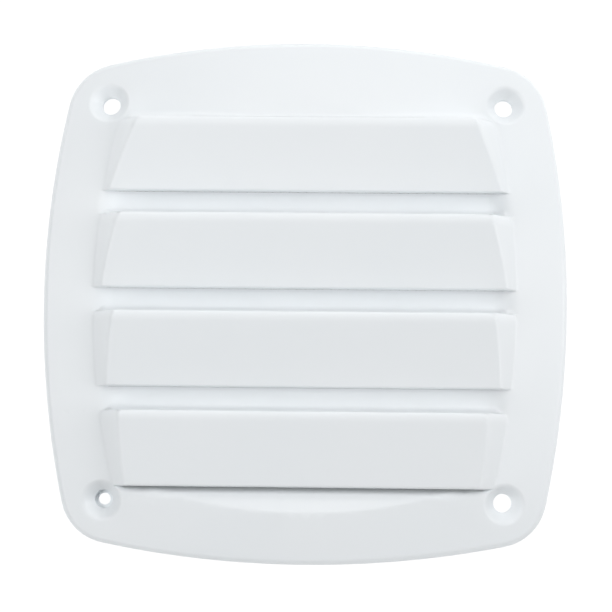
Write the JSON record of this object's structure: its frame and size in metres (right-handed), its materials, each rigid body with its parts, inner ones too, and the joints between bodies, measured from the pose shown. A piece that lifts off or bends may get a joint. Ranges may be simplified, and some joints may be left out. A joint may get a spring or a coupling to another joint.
{
  "type": "louvred roof vent cover",
  "caption": "Small white domed vent cover with fixed downward louvres, countersunk corner holes and a fly screen behind.",
  "frame": {"origin": "centre of the back plane that rests on the roof", "axes": "+Z out of the roof, +Y up the slope away from the louvre lips, +X to the right seen from outside"},
  "size_m": [0.085, 0.085, 0.0116],
  "materials": {
    "cover_plastic": "satin-gloss moulded white ABS",
    "frame_plastic": "matte moulded off-white plastic",
    "screen_mesh": "woven grey coated fibre mesh",
    "gasket_foam": "matte closed-cell foam"
  },
  "bodies": {
    "root": {"cover_flange": "cover_plastic", "louver_1": "cover_plastic", "louver_2": "cover_plastic", "louver_3": "cover_plastic", "louver_4": "cover_plastic", "screen_frame": "frame_plastic", "insect_screen": "screen_mesh", "sealing_gasket": "gasket_foam"}
  },
  "joints": []
}
